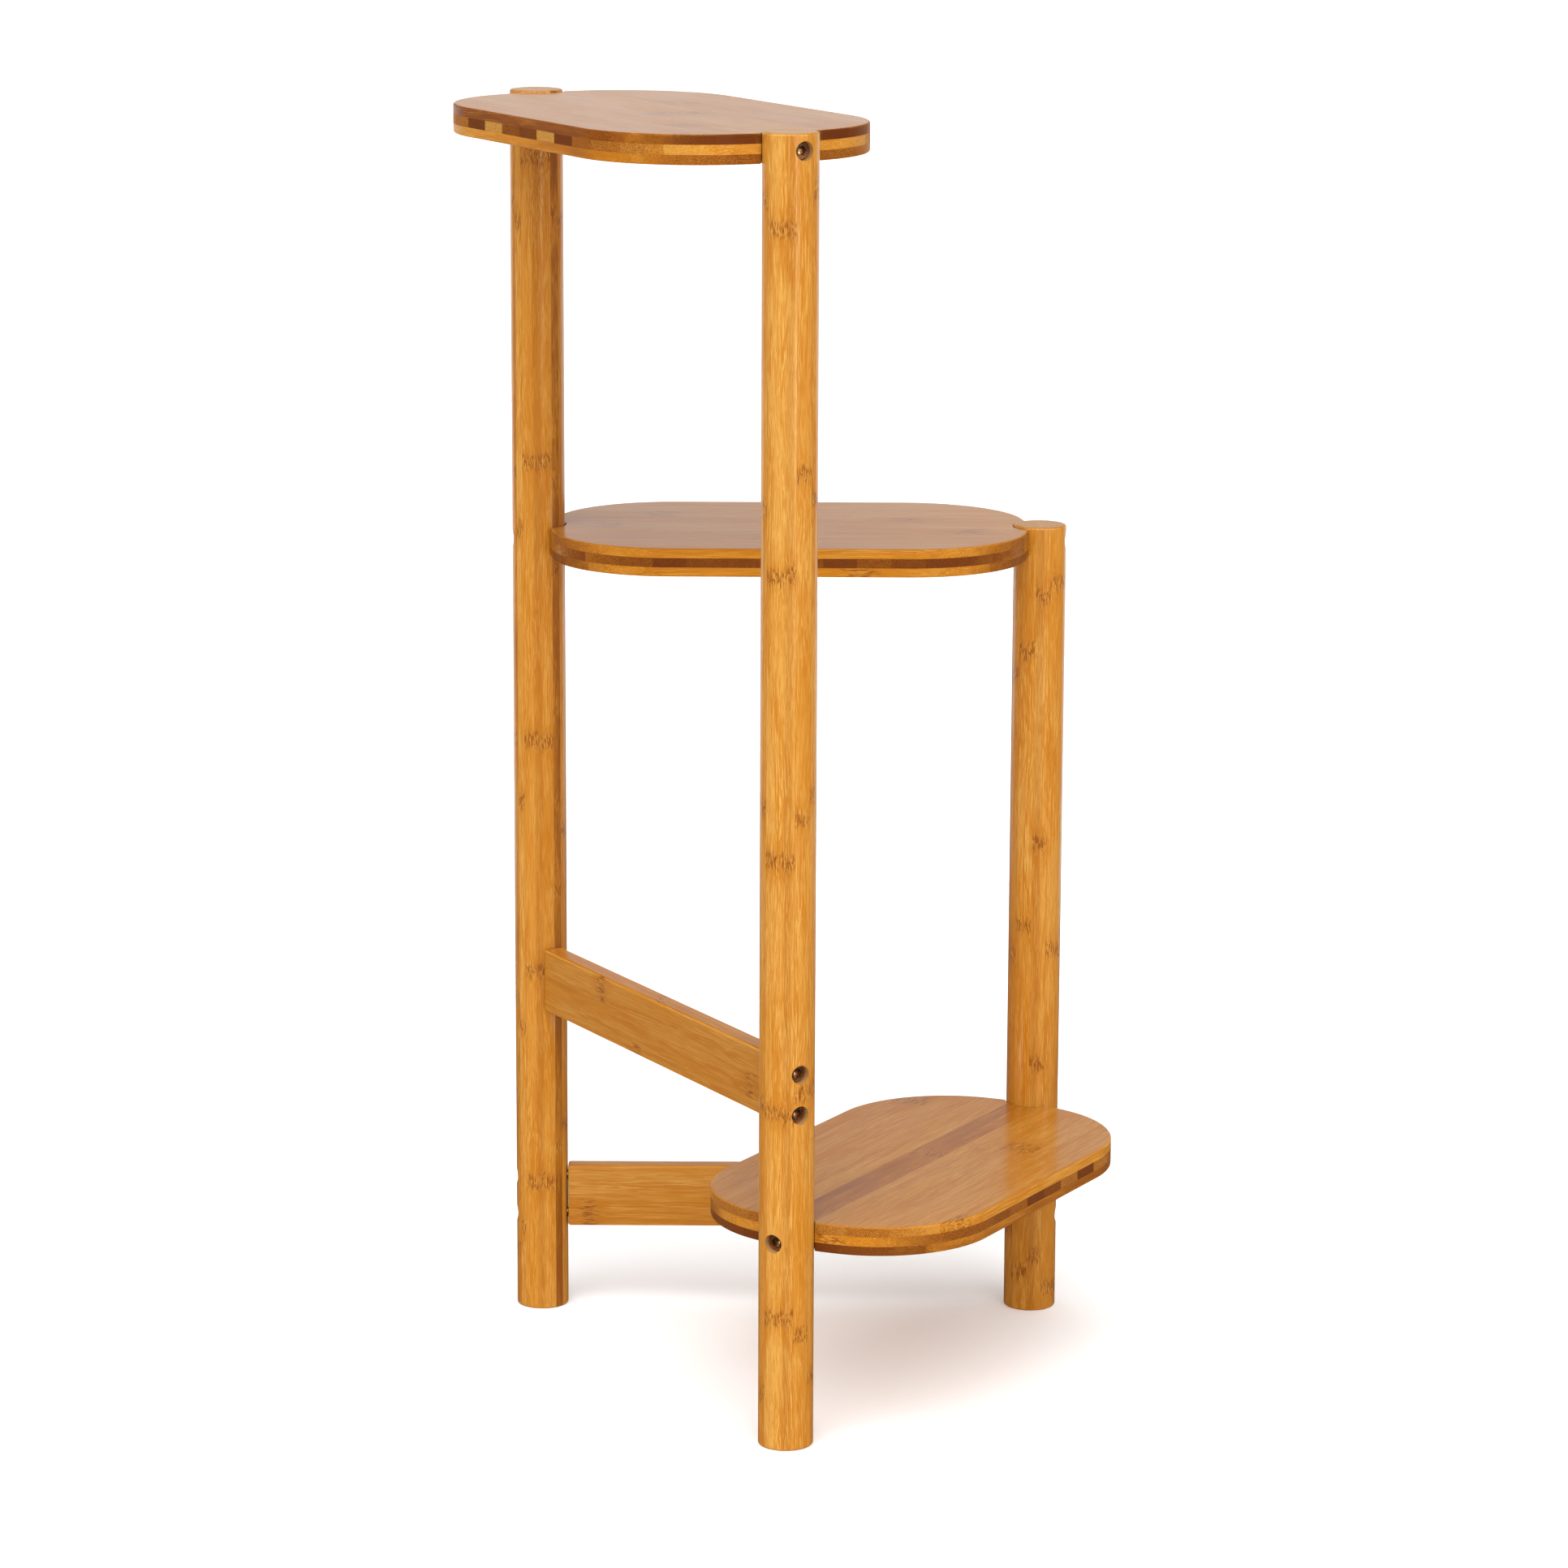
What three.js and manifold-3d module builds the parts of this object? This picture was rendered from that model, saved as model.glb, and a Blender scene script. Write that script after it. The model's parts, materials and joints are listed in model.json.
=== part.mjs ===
// Three-tier plant stand in laminated bamboo.
// Three round legs stand on an equilateral triangle. Each side of the triangle carries one shelf, and two
// sides also carry a rail. A shelf's round tips are notched to sit against the legs. Every joint is a
// socket-head bolt that enters a leg from its outer side and screws into an insert in the shelf or rail.
// Millimetres, +Z up, the floor at Z = 0, the origin under the middle of the stand's outline.

import * as THREE from "three";
import { mergeVertices } from "three/addons/utils/BufferGeometryUtils.js";
import Module from "manifold-3d";

const wasm = await Module();
wasm.setup();

// Legs
const legDiameter = 32;
const legSpacing = 306; // between the axes of any two legs
const tallLegHeight = 760;
const shortLegHeight = 497;
const legEndRounding = 1.5;

// Shelves
const shelfWidth = 175;
const shelfThickness = 17;
const shelfEdgeRounding = 1.2;
const cornerInset = 14.5; // shelf centreline to the centre of a corner arc
const tipFlatness = 2; // radius of the tip arc over the radius of a corner arc
const notchDepth = 9.3; // how far a leg is let into a shelf's tip
const legAboveShelf = 1.2; // a leg's end stands this far above the shelf fixed at its top

// Rails
const railHeight = 39;
const railThickness = 13;
const railEdgeRounding = 2;
const railEndRounding = 1.5;
const railBoltInset = 7.5; // edge of the rail to the axis of its nearer bolt

// Heights, from the floor up
const floorToLowerRail = 51.5;
const lowerRailToShelf = 25.5;
const shelfToUpperRail = 60.5;

// Bolts and their threaded inserts
const boltDiameter = 6;
const boltHeadDiameter = 10;
const boltHeadHeight = 6;
const boltHeadChamfer = 0.6;
const boltTipChamfer = 0.8;
const socketAcrossFlats = 5;
const socketDepth = 3;
const threadEngagement = 13; // how far a bolt reaches into what it holds
const insertLength = 13;
const insertWall = 1.25;
const insertChamfer = 0.5;
const headRecess = 4.5; // crown of the leg to the top of the bolt head
const pilotSpare = 3; // depth left beyond the end of a bolt

// Clearances, each on one side
const bearingGap = 0.3; // between a leg and what bears on it
const headGap = 0.5; // round a bolt head
const shankGap = 0.3; // round a bolt where it passes through a leg
const threadGap = 0.25; // round a bolt inside its insert
const insertGap = 0.3; // round an insert
const seatGap = 0.05; // under a bolt head and behind an insert

// Faces of the round forms
const legFaces = 48;
const boltFaces = 16;
const cornerSteps = 10; // in each corner arc of a shelf
const tipSteps = 3; // in each tip arc of a shelf
const roundingSteps = 2; // in each rounded edge

const legRadius = legDiameter / 2;
const halfSpacing = legSpacing / 2;
const halfShelf = shelfThickness / 2;
const bearing = legRadius + bearingGap; // leg axis to the face of what bears on the leg
const shelfLength = legSpacing - 2 * (bearing - notchDepth);
const railLength = legSpacing - 2 * bearing;
const headSeat = legRadius - headRecess - boltHeadHeight; // leg axis to the seat of a bolt head
const boltLength = headSeat + seatGap + bearing + threadEngagement;
const insertRadius = boltDiameter / 2 + threadGap + insertWall;

const lowerRailTop = floorToLowerRail + railHeight;
const bottomShelfTop = lowerRailTop + lowerRailToShelf + shelfThickness;

const bamboo = { color: 0xd39a55, roughness: 0.45, metalness: 0 };
const paleBamboo = { color: 0xd9b083, roughness: 0.4, metalness: 0 };
const bronze = { color: 0x8a6540, roughness: 0.35, metalness: 1 };
const zinc = { color: 0xb8b6ae, roughness: 0.45, metalness: 1 };

const legs = {
  left: { height: tallLegHeight, position: new THREE.Vector2(-halfSpacing, 0) },
  right: { height: shortLegHeight, position: new THREE.Vector2(halfSpacing, 0) },
  front: { height: tallLegHeight, position: new THREE.Vector2(0, -legSpacing * Math.sin(Math.PI / 3)) },
};

// What spans from leg to leg: its two legs, the height of its middle, and its bolts' heights from there.
const shelfBolts = { "": 0 };
const railBolts = { _high: railHeight / 2 - railBoltInset, _low: railBoltInset - railHeight / 2 };
const spans = [
  {
    name: "shelf_top",
    ends: ["left", "front"],
    middle: tallLegHeight - legAboveShelf - halfShelf,
    make: makeShelf,
    look: paleBamboo,
    bolts: shelfBolts,
  },
  {
    name: "shelf_middle",
    ends: ["left", "right"],
    middle: shortLegHeight - legAboveShelf - halfShelf,
    make: makeShelf,
    look: paleBamboo,
    bolts: shelfBolts,
  },
  {
    name: "shelf_bottom",
    ends: ["front", "right"],
    middle: bottomShelfTop - halfShelf,
    make: makeShelf,
    look: paleBamboo,
    bolts: shelfBolts,
  },
  {
    name: "rail_upper",
    ends: ["left", "front"],
    middle: bottomShelfTop + shelfToUpperRail + railHeight / 2,
    make: makeRail,
    look: bamboo,
    bolts: railBolts,
  },
  {
    name: "rail_lower",
    ends: ["left", "right"],
    middle: floorToLowerRail + railHeight / 2,
    make: makeRail,
    look: bamboo,
    bolts: railBolts,
  },
];

function solid(geometry) {
  geometry.deleteAttribute("normal");
  geometry.deleteAttribute("uv");
  const merged = mergeVertices(geometry, 1e-4);
  const vertProperties = merged.attributes.position.array;
  const triVerts = new Uint32Array(merged.index.array);
  return new wasm.Manifold(new wasm.Mesh({ numProp: 3, vertProperties, triVerts }));
}

function geometryOf(body) {
  const mesh = body.getMesh();
  const geometry = new THREE.BufferGeometry();
  geometry.setAttribute("position", new THREE.BufferAttribute(mesh.vertProperties, 3));
  geometry.setIndex(new THREE.BufferAttribute(mesh.triVerts, 1));
  geometry.computeVertexNormals();
  return geometry;
}

function named(name, geometry, look) {
  const mesh = new THREE.Mesh(geometry, new THREE.MeshStandardMaterial(look));
  mesh.name = name;
  return mesh;
}

// The points of an arc about a centre, from one angle to another.
function arc(x, y, radius, from, to, steps = roundingSteps) {
  const points = [];
  for (let i = 0; i <= steps; i++) {
    const angle = from + ((to - from) * i) / steps;
    points.push(new THREE.Vector2(x + radius * Math.cos(angle), y + radius * Math.sin(angle)));
  }
  return points;
}

function profileOf(pairs) {
  return pairs.map(([radius, height]) => new THREE.Vector2(radius, height));
}

// A form turned about Z, and one turned about X.
function turnedUpright(profile, faces) {
  return new THREE.LatheGeometry(profile, faces).rotateX(Math.PI / 2);
}

function turnedAlong(profile, faces) {
  return new THREE.LatheGeometry(profile, faces).rotateZ(-Math.PI / 2);
}

// A round cutter along X, from one X to another.
function drill(radius, from, to) {
  const cutter = new THREE.CylinderGeometry(radius, radius, to - from, boltFaces);
  return solid(cutter.rotateZ(-Math.PI / 2).translate((from + to) / 2, 0, 0));
}

// A post with rounded ends. Each joint drills a bolt hole, with a counterbore from the leg's outer side.
function makeLeg(name) {
  const { height, position } = legs[name];
  const flat = legRadius - legEndRounding;
  const profile = [
    ...profileOf([[0, 0]]),
    ...arc(flat, legEndRounding, legEndRounding, -Math.PI / 2, 0),
    ...arc(flat, height - legEndRounding, legEndRounding, 0, Math.PI / 2),
    ...profileOf([[0, height]]),
  ];
  let body = solid(turnedUpright(profile, legFaces));
  const boltHole = drill(boltDiameter / 2 + shankGap, -legDiameter, legDiameter);
  const counterbore = drill(boltHeadDiameter / 2 + headGap, headSeat, legDiameter);
  const joint = boltHole.add(counterbore);
  for (const { ends, middle, bolts } of spans) {
    if (!ends.includes(name)) continue;
    const other = legs[ends.find((end) => end !== name)];
    const outward = position.clone().sub(other.position).angle();
    const turned = joint.rotate([0, 0, THREE.MathUtils.radToDeg(outward)]);
    for (const boltHeight of Object.values(bolts)) {
      body = body.subtract(turned.translate([0, 0, middle + boltHeight]));
    }
  }
  const mesh = named("leg_" + name, geometryOf(body), bamboo);
  mesh.position.set(position.x, position.y, 0);
  return mesh;
}

// An outline made thick along Z, centred on it, with its edges rounded.
function board(outline, thickness, rounding) {
  const geometry = new THREE.ExtrudeGeometry(outline, {
    depth: thickness - 2 * rounding,
    bevelThickness: rounding,
    bevelSize: rounding,
    bevelOffset: -rounding,
    bevelSegments: roundingSteps,
  });
  return geometry.translate(0, 0, rounding - thickness / 2);
}

// A shelf's plan: straight sides, and at each end a flatter tip arc between two corner arcs.
function shelfOutline() {
  const cornerRadius = shelfWidth / 2 - cornerInset;
  const tipRadius = cornerRadius * tipFlatness;
  const tipCentre = shelfLength / 2 - tipRadius;
  const cornerCentre = tipCentre + Math.sqrt((tipRadius - cornerRadius) ** 2 - cornerInset ** 2);
  const turn = Math.asin(cornerInset / (tipRadius - cornerRadius));
  const end = [
    ...arc(cornerCentre, -cornerInset, cornerRadius, -Math.PI / 2, -turn, cornerSteps),
    ...arc(tipCentre, 0, tipRadius, -turn, turn, tipSteps).slice(1, -1),
    ...arc(cornerCentre, cornerInset, cornerRadius, turn, Math.PI / 2, cornerSteps),
  ];
  const otherEnd = end.map((point) => point.clone().negate());
  return new THREE.Shape([...end, ...otherEnd]);
}

// The cutter that lets a leg into a shelf's tip, flared so that the notch's edges are eased as the rest.
function notchCutter() {
  const flare = bearing + shelfEdgeRounding;
  const wallEnd = halfShelf - shelfEdgeRounding;
  const profile = [
    ...profileOf([[0, -shelfThickness], [flare, -shelfThickness]]),
    ...arc(flare, -wallEnd, shelfEdgeRounding, Math.PI * 1.5, Math.PI),
    ...arc(flare, wallEnd, shelfEdgeRounding, Math.PI, Math.PI / 2),
    ...profileOf([[flare, shelfThickness], [0, shelfThickness]]),
  ];
  return solid(turnedUpright(profile, legFaces));
}

// The stepped hole for an insert, in the end of a shelf or rail that faces +X, with the bolt's own hole
// going on behind it.
function insertHole() {
  const mouth = halfSpacing - bearing;
  const boltEnd = mouth - Math.max(threadEngagement, insertLength);
  const pocket = drill(insertRadius + insertGap, mouth - insertLength - 2 * seatGap, halfSpacing);
  return pocket.add(drill(boltDiameter / 2 + shankGap, boltEnd - pilotSpare, mouth));
}

function drilledAtBothEnds(body, bolts) {
  const right = insertHole();
  const left = right.rotate([0, 0, 180]);
  for (const height of Object.values(bolts)) {
    body = body.subtract(right.translate([0, 0, height])).subtract(left.translate([0, 0, height]));
  }
  return body;
}

function makeShelf() {
  const notch = notchCutter();
  const body = solid(board(shelfOutline(), shelfThickness, shelfEdgeRounding))
    .subtract(notch.translate([halfSpacing, 0, 0]))
    .subtract(notch.translate([-halfSpacing, 0, 0]));
  return geometryOf(drilledAtBothEnds(body, shelfBolts));
}

// A rail's section, upright, with rounded edges.
function railSection() {
  const x = railHeight / 2 - railEdgeRounding;
  const y = railThickness / 2 - railEdgeRounding;
  return new THREE.Shape([
    ...arc(x, y, railEdgeRounding, 0, Math.PI / 2),
    ...arc(-x, y, railEdgeRounding, Math.PI / 2, Math.PI),
    ...arc(-x, -y, railEdgeRounding, Math.PI, Math.PI * 1.5),
    ...arc(x, -y, railEdgeRounding, Math.PI * 1.5, Math.PI * 2),
  ]);
}

function makeRail() {
  const body = solid(board(railSection(), railLength, railEndRounding).rotateY(Math.PI / 2));
  return geometryOf(drilledAtBothEnds(body, railBolts));
}

// A bolt along X: the underside of its head at X = 0, the head towards +X, with a hexagon socket.
function makeBolt() {
  const shank = boltDiameter / 2;
  const head = boltHeadDiameter / 2;
  const profile = profileOf([
    [0, -boltLength],
    [shank - boltTipChamfer, -boltLength],
    [shank, boltTipChamfer - boltLength],
    [shank, 0],
    [head, 0],
    [head, boltHeadHeight - boltHeadChamfer],
    [head - boltHeadChamfer, boltHeadHeight],
    [0, boltHeadHeight],
  ]);
  const corners = socketAcrossFlats / 2 / Math.cos(Math.PI / 6);
  const socket = new THREE.CylinderGeometry(corners, corners, 2 * socketDepth, 6);
  socket.rotateZ(-Math.PI / 2).translate(boltHeadHeight, 0, 0);
  return geometryOf(solid(turnedAlong(profile, boltFaces)).subtract(solid(socket)));
}

// An insert along X: its mouth at X = 0, its body towards -X.
function makeInsert() {
  const bore = boltDiameter / 2 + threadGap;
  const profile = profileOf([
    [bore, -insertLength],
    [insertRadius - insertChamfer, -insertLength],
    [insertRadius, insertChamfer - insertLength],
    [insertRadius, -insertChamfer],
    [insertRadius - insertChamfer, 0],
    [bore, 0],
    [bore, -insertLength],
  ]);
  return geometryOf(solid(turnedAlong(profile, boltFaces)));
}

// A shelf or rail with the bolts and inserts at its two ends, about its own middle, along X.
function makeSpan({ name, ends, middle, make, look, bolts }) {
  const [from, to] = ends.map((end) => legs[end].position);
  const span = new THREE.Group();
  span.add(named(name, make(), look));
  ends.forEach((end, side) => {
    const joint = new THREE.Group();
    joint.rotation.z = side === 0 ? Math.PI : 0;
    for (const [suffix, height] of Object.entries(bolts)) {
      const place = name + "_" + end + suffix;
      const bolt = named("bolt_" + place, makeBolt(), bronze);
      bolt.position.set(halfSpacing + headSeat + seatGap, 0, height);
      const insert = named("insert_" + place, makeInsert(), zinc);
      insert.position.set(halfSpacing - bearing - seatGap, 0, height);
      joint.add(bolt, insert);
    }
    span.add(joint);
  });
  span.position.set((from.x + to.x) / 2, (from.y + to.y) / 2, middle);
  span.rotation.z = to.clone().sub(from).angle();
  return span;
}

const stand = new THREE.Group();
stand.add(...Object.keys(legs).map(makeLeg));
stand.add(...spans.map(makeSpan));

const middle = new THREE.Box3().setFromObject(stand, true).getCenter(new THREE.Vector3());
stand.position.set(-middle.x, -middle.y, 0);

const group = new THREE.Group();
group.add(stand);

export default group;
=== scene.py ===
"""A tiered plant stand in laminated bamboo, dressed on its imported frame.

Three turned legs, three three-ply shelves and two rails are modelled over the frame's plain solids, with
the bolts that hold them, and every surface gets its bamboo, lacquer or metal from shader nodes.
"""

import json
import math

import bmesh
import bpy
from bpy.props import FloatProperty, FloatVectorProperty, IntProperty, PointerProperty
from mathutils import Matrix, Vector

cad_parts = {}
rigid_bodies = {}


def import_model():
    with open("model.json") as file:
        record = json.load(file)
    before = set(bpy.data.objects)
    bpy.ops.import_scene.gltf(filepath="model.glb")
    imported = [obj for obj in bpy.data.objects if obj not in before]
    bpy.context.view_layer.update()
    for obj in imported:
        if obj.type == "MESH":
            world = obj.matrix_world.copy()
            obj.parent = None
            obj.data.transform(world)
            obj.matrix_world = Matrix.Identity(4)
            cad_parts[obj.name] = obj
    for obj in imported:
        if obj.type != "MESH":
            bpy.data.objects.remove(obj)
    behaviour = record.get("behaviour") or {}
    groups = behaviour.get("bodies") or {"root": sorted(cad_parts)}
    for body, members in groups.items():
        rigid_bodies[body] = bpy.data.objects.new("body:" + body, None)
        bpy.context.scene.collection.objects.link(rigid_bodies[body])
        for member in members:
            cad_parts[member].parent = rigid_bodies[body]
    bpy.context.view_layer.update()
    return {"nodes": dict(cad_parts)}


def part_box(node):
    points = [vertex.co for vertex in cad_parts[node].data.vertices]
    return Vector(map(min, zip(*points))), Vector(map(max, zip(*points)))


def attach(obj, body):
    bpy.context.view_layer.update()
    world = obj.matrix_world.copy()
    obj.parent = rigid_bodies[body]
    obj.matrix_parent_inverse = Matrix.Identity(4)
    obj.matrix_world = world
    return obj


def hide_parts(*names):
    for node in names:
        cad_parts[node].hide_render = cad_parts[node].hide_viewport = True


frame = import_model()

bl_info = {
    "name": "Tiered Plant Stand",
    "version": (1, 0, 0),
    "blender": (4, 5, 0),
    "location": "3D View > Sidebar > Plant Stand",
    "description": "Builds a three-tier bamboo plant stand with its bolts, finishes and studio",
    "category": "Add Mesh",
}

MM = 0.001
UP = (0, 0, 1)


# ---- Places and sizes read from the frame

def box_size(node):
    low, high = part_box(node)
    return high - low


def box_centre(node):
    low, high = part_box(node)
    return (low + high) / 2


LEGS = ("left", "right", "front")
LEG_PLACE = {leg: box_centre("leg_" + leg).xy for leg in LEGS}

# Each board or rail, and the two legs that it joins.
SHELVES = {
    "shelf_top": ("left", "front"),
    "shelf_middle": ("left", "right"),
    "shelf_bottom": ("front", "right"),
}
RAILS = {
    "rail_upper": ("left", "front"),
    "rail_lower": ("left", "right"),
}
SPANS = {**SHELVES, **RAILS}

BOLTS = sorted(node for node in frame["nodes"] if node.startswith("bolt_"))
INSERTS = sorted(node for node in frame["nodes"] if node.startswith("insert_"))

# The middle shelf, the lower rail and their bolts lie along X, so their boxes give true sizes.
SHELF_SIZE = box_size("shelf_middle")
RAIL_SIZE = box_size("rail_lower")
BOLT_SIZE = box_size("bolt_shelf_middle_right")
HEAD_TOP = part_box("bolt_shelf_middle_right")[1].x - LEG_PLACE["right"].x

# Half the distance between the axes of two legs.
HALF_SPACING = (LEG_PLACE["right"] - LEG_PLACE["left"]).length / 2

# The frame's arcs are made of flats, so a shelf's spun arcs are drawn this much inside them.
ARC_TRIM = 0.04 * MM

# The numbers of flats in a shelf's corner and tip arcs, and in rounded edges.
CORNER_STEPS, TIP_STEPS = 28, 12
LEG_END_STEPS, SHELF_EDGE_STEPS, RAIL_EDGE_STEPS, RAIL_END_STEPS, HEAD_EDGE_STEPS = 5, 4, 5, 4, 3

# A narrow border inside a flat end or face keeps the shading of its rounded edge even.
LEG_BORDER = 1.0 * MM
SHELF_BORDER = 0.6 * MM

# A leg's sides are cut round this far above and below each bolt, but not within the margin of its top, so
# that long thin faces don't spoil the shading at its holes.
HOLE_COLLAR = 8 * MM
COLLAR_MARGIN = 3 * MM

# The chamfer at a bolt's tip, and the slack between a bolt's head and the floor of its counterbore.
BOLT_TIP_CHAMFER = 0.8 * MM
SEAT_SLACK = 0.05 * MM


def span_of(bolt):
    return next(span for span in SPANS if span in bolt)


def leg_of(bolt):
    rest = bolt.replace("bolt_" + span_of(bolt) + "_", "")
    return rest.split("_")[0]


def span_turn(span):
    """The angle about Z of a board or rail, from its first leg to its second."""
    first, second = (LEG_PLACE[leg] for leg in SPANS[span])
    return math.atan2(second.y - first.y, second.x - first.x)


def span_axis(span, turned=0.0):
    """The direction along a board or rail, or turned from it about Z."""
    turn = span_turn(span) + turned
    return (math.cos(turn), math.sin(turn), 0)


def span_place(span):
    """Turns and moves a board or rail that was made about the origin, along X."""
    return Matrix.Translation(box_centre(span)) @ Matrix.Rotation(span_turn(span), 4, "Z")


def bolt_place(bolt):
    """Places a bolt that was made about the origin, its head towards +Z, its leg's axis at Z = 0."""
    leg = leg_of(bolt)
    other = next(end for end in SPANS[span_of(bolt)] if end != leg)
    outward = LEG_PLACE[leg] - LEG_PLACE[other]
    turn = math.atan2(outward.y, outward.x)
    return (
        Matrix.Translation((*LEG_PLACE[leg], box_centre(bolt).z))
        @ Matrix.Rotation(turn, 4, "Z")
        @ Matrix.Rotation(math.pi / 2, 4, "Y")
    )


# ---- Settings that a user would change

def length(name, description, default):
    return FloatProperty(name=name, description=description, default=default, unit="LENGTH", precision=5)


def angle(name, description, degrees):
    return FloatProperty(name=name, description=description, default=math.radians(degrees), subtype="ANGLE")


def number(name, description, default, least=0.0):
    return FloatProperty(name=name, description=description, default=default, min=least)


def colour(name, description, default):
    return FloatVectorProperty(
        name=name, description=description, default=default, subtype="COLOR", size=3, min=0, max=1
    )


class StandSizes(bpy.types.PropertyGroup):
    leg_diameter: length("Leg Diameter", "Diameter of the round legs", box_size("leg_left").x)
    leg_rounding: length("Leg End Rounding", "Radius round the two ends of a leg", 1.5 * MM)
    corner_inset: length("Corner Inset", "Shelf centreline to the centre of a corner arc", 14.5 * MM)
    tip_flatness: number("Tip Flatness", "Radius of a shelf's tip over that of its corners", 2.0, 1.2)
    shelf_rounding: length("Shelf Rounding", "Radius along the edges of a shelf", 1.2 * MM)
    notch_depth: length("Notch Depth", "How far a leg is let into a shelf's tip", 9.3 * MM)
    bearing_gap: length("Bearing Gap", "Space between a leg and what bears on it", 0.3 * MM)
    rail_rounding: length("Rail Rounding", "Radius along the edges of a rail", 2.0 * MM)
    rail_end_rounding: length("Rail End Rounding", "Radius round the ends of a rail", 1.5 * MM)
    shank_diameter: length("Shank Diameter", "Diameter of a bolt's shank", 6.0 * MM)
    head_height: length("Head Height", "Height of a bolt's head", 6.0 * MM)
    head_chamfer: length("Head Chamfer", "Chamfer round the top of a bolt's head", 0.6 * MM)
    socket_width: length("Socket Width", "Across the flats of a bolt's socket", 5.0 * MM)
    socket_depth: length("Socket Depth", "Depth of a bolt's socket", 3.0 * MM)
    head_gap: length("Head Gap", "Space round a bolt's head in its counterbore", 0.5 * MM)
    shank_gap: length("Shank Gap", "Space round a bolt's shank in a leg", 0.3 * MM)
    insert_diameter: length("Insert Hole Diameter", "Hole for a threaded insert", 9.6 * MM)
    insert_depth: length("Insert Hole Depth", "Depth of the hole for a threaded insert", 13.1 * MM)
    pilot_depth: length("Pilot Depth", "Depth of the bolt's own hole behind its insert", 3.0 * MM)
    leg_sides: IntProperty(name="Leg Sides", description="Flats round a leg", default=160, min=24)
    hole_sides: IntProperty(name="Hole Sides", description="Flats round a hole", default=48, min=12)


class StandFinish(bpy.types.PropertyGroup):
    pale: colour("Pale Bamboo", "Lightest strips", (0.585, 0.300, 0.058))
    gold: colour("Golden Bamboo", "Deeper strips", (0.500, 0.200, 0.016))
    streak: colour("Streaks", "Long fibres between the pale ground", (0.430, 0.143, 0.005))
    ring: colour("Culm Rings", "Marks where a culm had a joint", (0.225, 0.060, 0.002))
    pit: colour("Ring Pits", "Small pits in a culm ring", (0.090, 0.024, 0.004))
    dark: colour("Dark Strips", "Strips from the outer wall of the culm", (0.240, 0.064, 0.005))
    end_pale: colour("Pale End Grain", "End grain that took little lacquer", (0.460, 0.235, 0.046))
    end_amber: colour("Amber End Grain", "End grain that took some lacquer", (0.300, 0.094, 0.007))
    end_dark: colour("Dark End Grain", "End grain soaked with lacquer", (0.100, 0.020, 0.0015))
    raw: colour("Raw Bamboo", "Walls of the drilled holes, with no lacquer", (0.430, 0.235, 0.088))
    bronze: colour("Bolt Bronze", "Bolts and their heads", (0.420, 0.215, 0.100))
    zinc: colour("Insert Zinc", "Threaded inserts", (0.520, 0.510, 0.480))


class StandStage(bpy.types.PropertyGroup):
    lens: number("Lens", "Focal length of the camera in millimetres", 122.58, 1.0)
    camera_place: FloatVectorProperty(
        name="Camera Place", description="Where the camera stands", default=(0.00035, -3.11944, 1.03533),
        subtype="TRANSLATION",
    )
    camera_pitch: angle("Camera Pitch", "How far the camera looks down", 12.3016)
    camera_turn: angle("Camera Turn", "How far the camera looks to the left", 0.0533)
    camera_roll: angle("Camera Roll", "How far the camera leans", 0.2343)
    sky: number("Room Light", "Brightness of the pale room", 0.62)
    screens: number("Screens", "Brightness of the pale screens behind, to the sides", 1.2)
    lamps: number("Lamps", "Brightness of the two lamps that glint in the bolts", 9.0)
    sun: number("Ceiling Light", "Strength of the wide light overhead", 3.0)
    softbox: number("Softbox", "Power of the softbox in front", 7.0)


# ---- Modelling

def deselect_all():
    for thing in bpy.context.view_layer.objects:
        thing.select_set(False)


def activate(piece):
    deselect_all()
    piece.select_set(True)
    bpy.context.view_layer.objects.active = piece


def edit(piece, kind="FACE"):
    activate(piece)
    bpy.ops.object.mode_set(mode="EDIT")
    bpy.ops.mesh.select_mode(type=kind)
    bpy.ops.mesh.select_all(action="DESELECT")


def end_edit():
    bpy.ops.object.mode_set(mode="OBJECT")


def select_all():
    bpy.ops.mesh.select_all(action="SELECT")


def pick(piece, parts, wanted):
    """In edit mode, selects the verts, edges or faces for which wanted is true, and nothing else."""
    bpy.ops.mesh.select_all(action="DESELECT")
    mesh = bmesh.from_edit_mesh(piece.data)
    found = 0
    for part in getattr(mesh, parts):
        if wanted(part):
            part.select_set(True)
            found += 1
    mesh.select_flush_mode()
    bmesh.update_edit_mesh(piece.data)
    if not found:
        raise RuntimeError(f"nothing to select on {piece.name}")


def close(a, b, slack=1e-6):
    return abs(a - b) < slack


def lies_at(edge, axis, *places):
    """True where both ends of an edge are at one of the places along an axis."""
    return any(all(close(v.co[axis], place) for v in edge.verts) for place in places)


def apply_place(piece, place):
    """Moves a piece that was made about the origin to its place, and keeps that place in its mesh."""
    piece.matrix_world = place
    activate(piece)
    bpy.ops.object.transform_apply(location=True, rotation=True, scale=True)


def copy_of(piece, name):
    activate(piece)
    bpy.ops.object.duplicate(linked=False)
    copy = bpy.context.view_layer.objects.active
    copy.name = copy.data.name = name
    return copy


def remove(piece):
    mesh = piece.data
    bpy.data.objects.remove(piece)
    bpy.data.meshes.remove(mesh)


def cut(piece, cutter):
    """Cuts one piece with another, as a boolean modifier that is applied."""
    activate(piece)
    modifier = piece.modifiers.new("cut", "BOOLEAN")
    modifier.operation = "DIFFERENCE"
    modifier.solver = "EXACT"
    modifier.object = cutter
    bpy.ops.object.modifier_apply(modifier=modifier.name)


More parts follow.
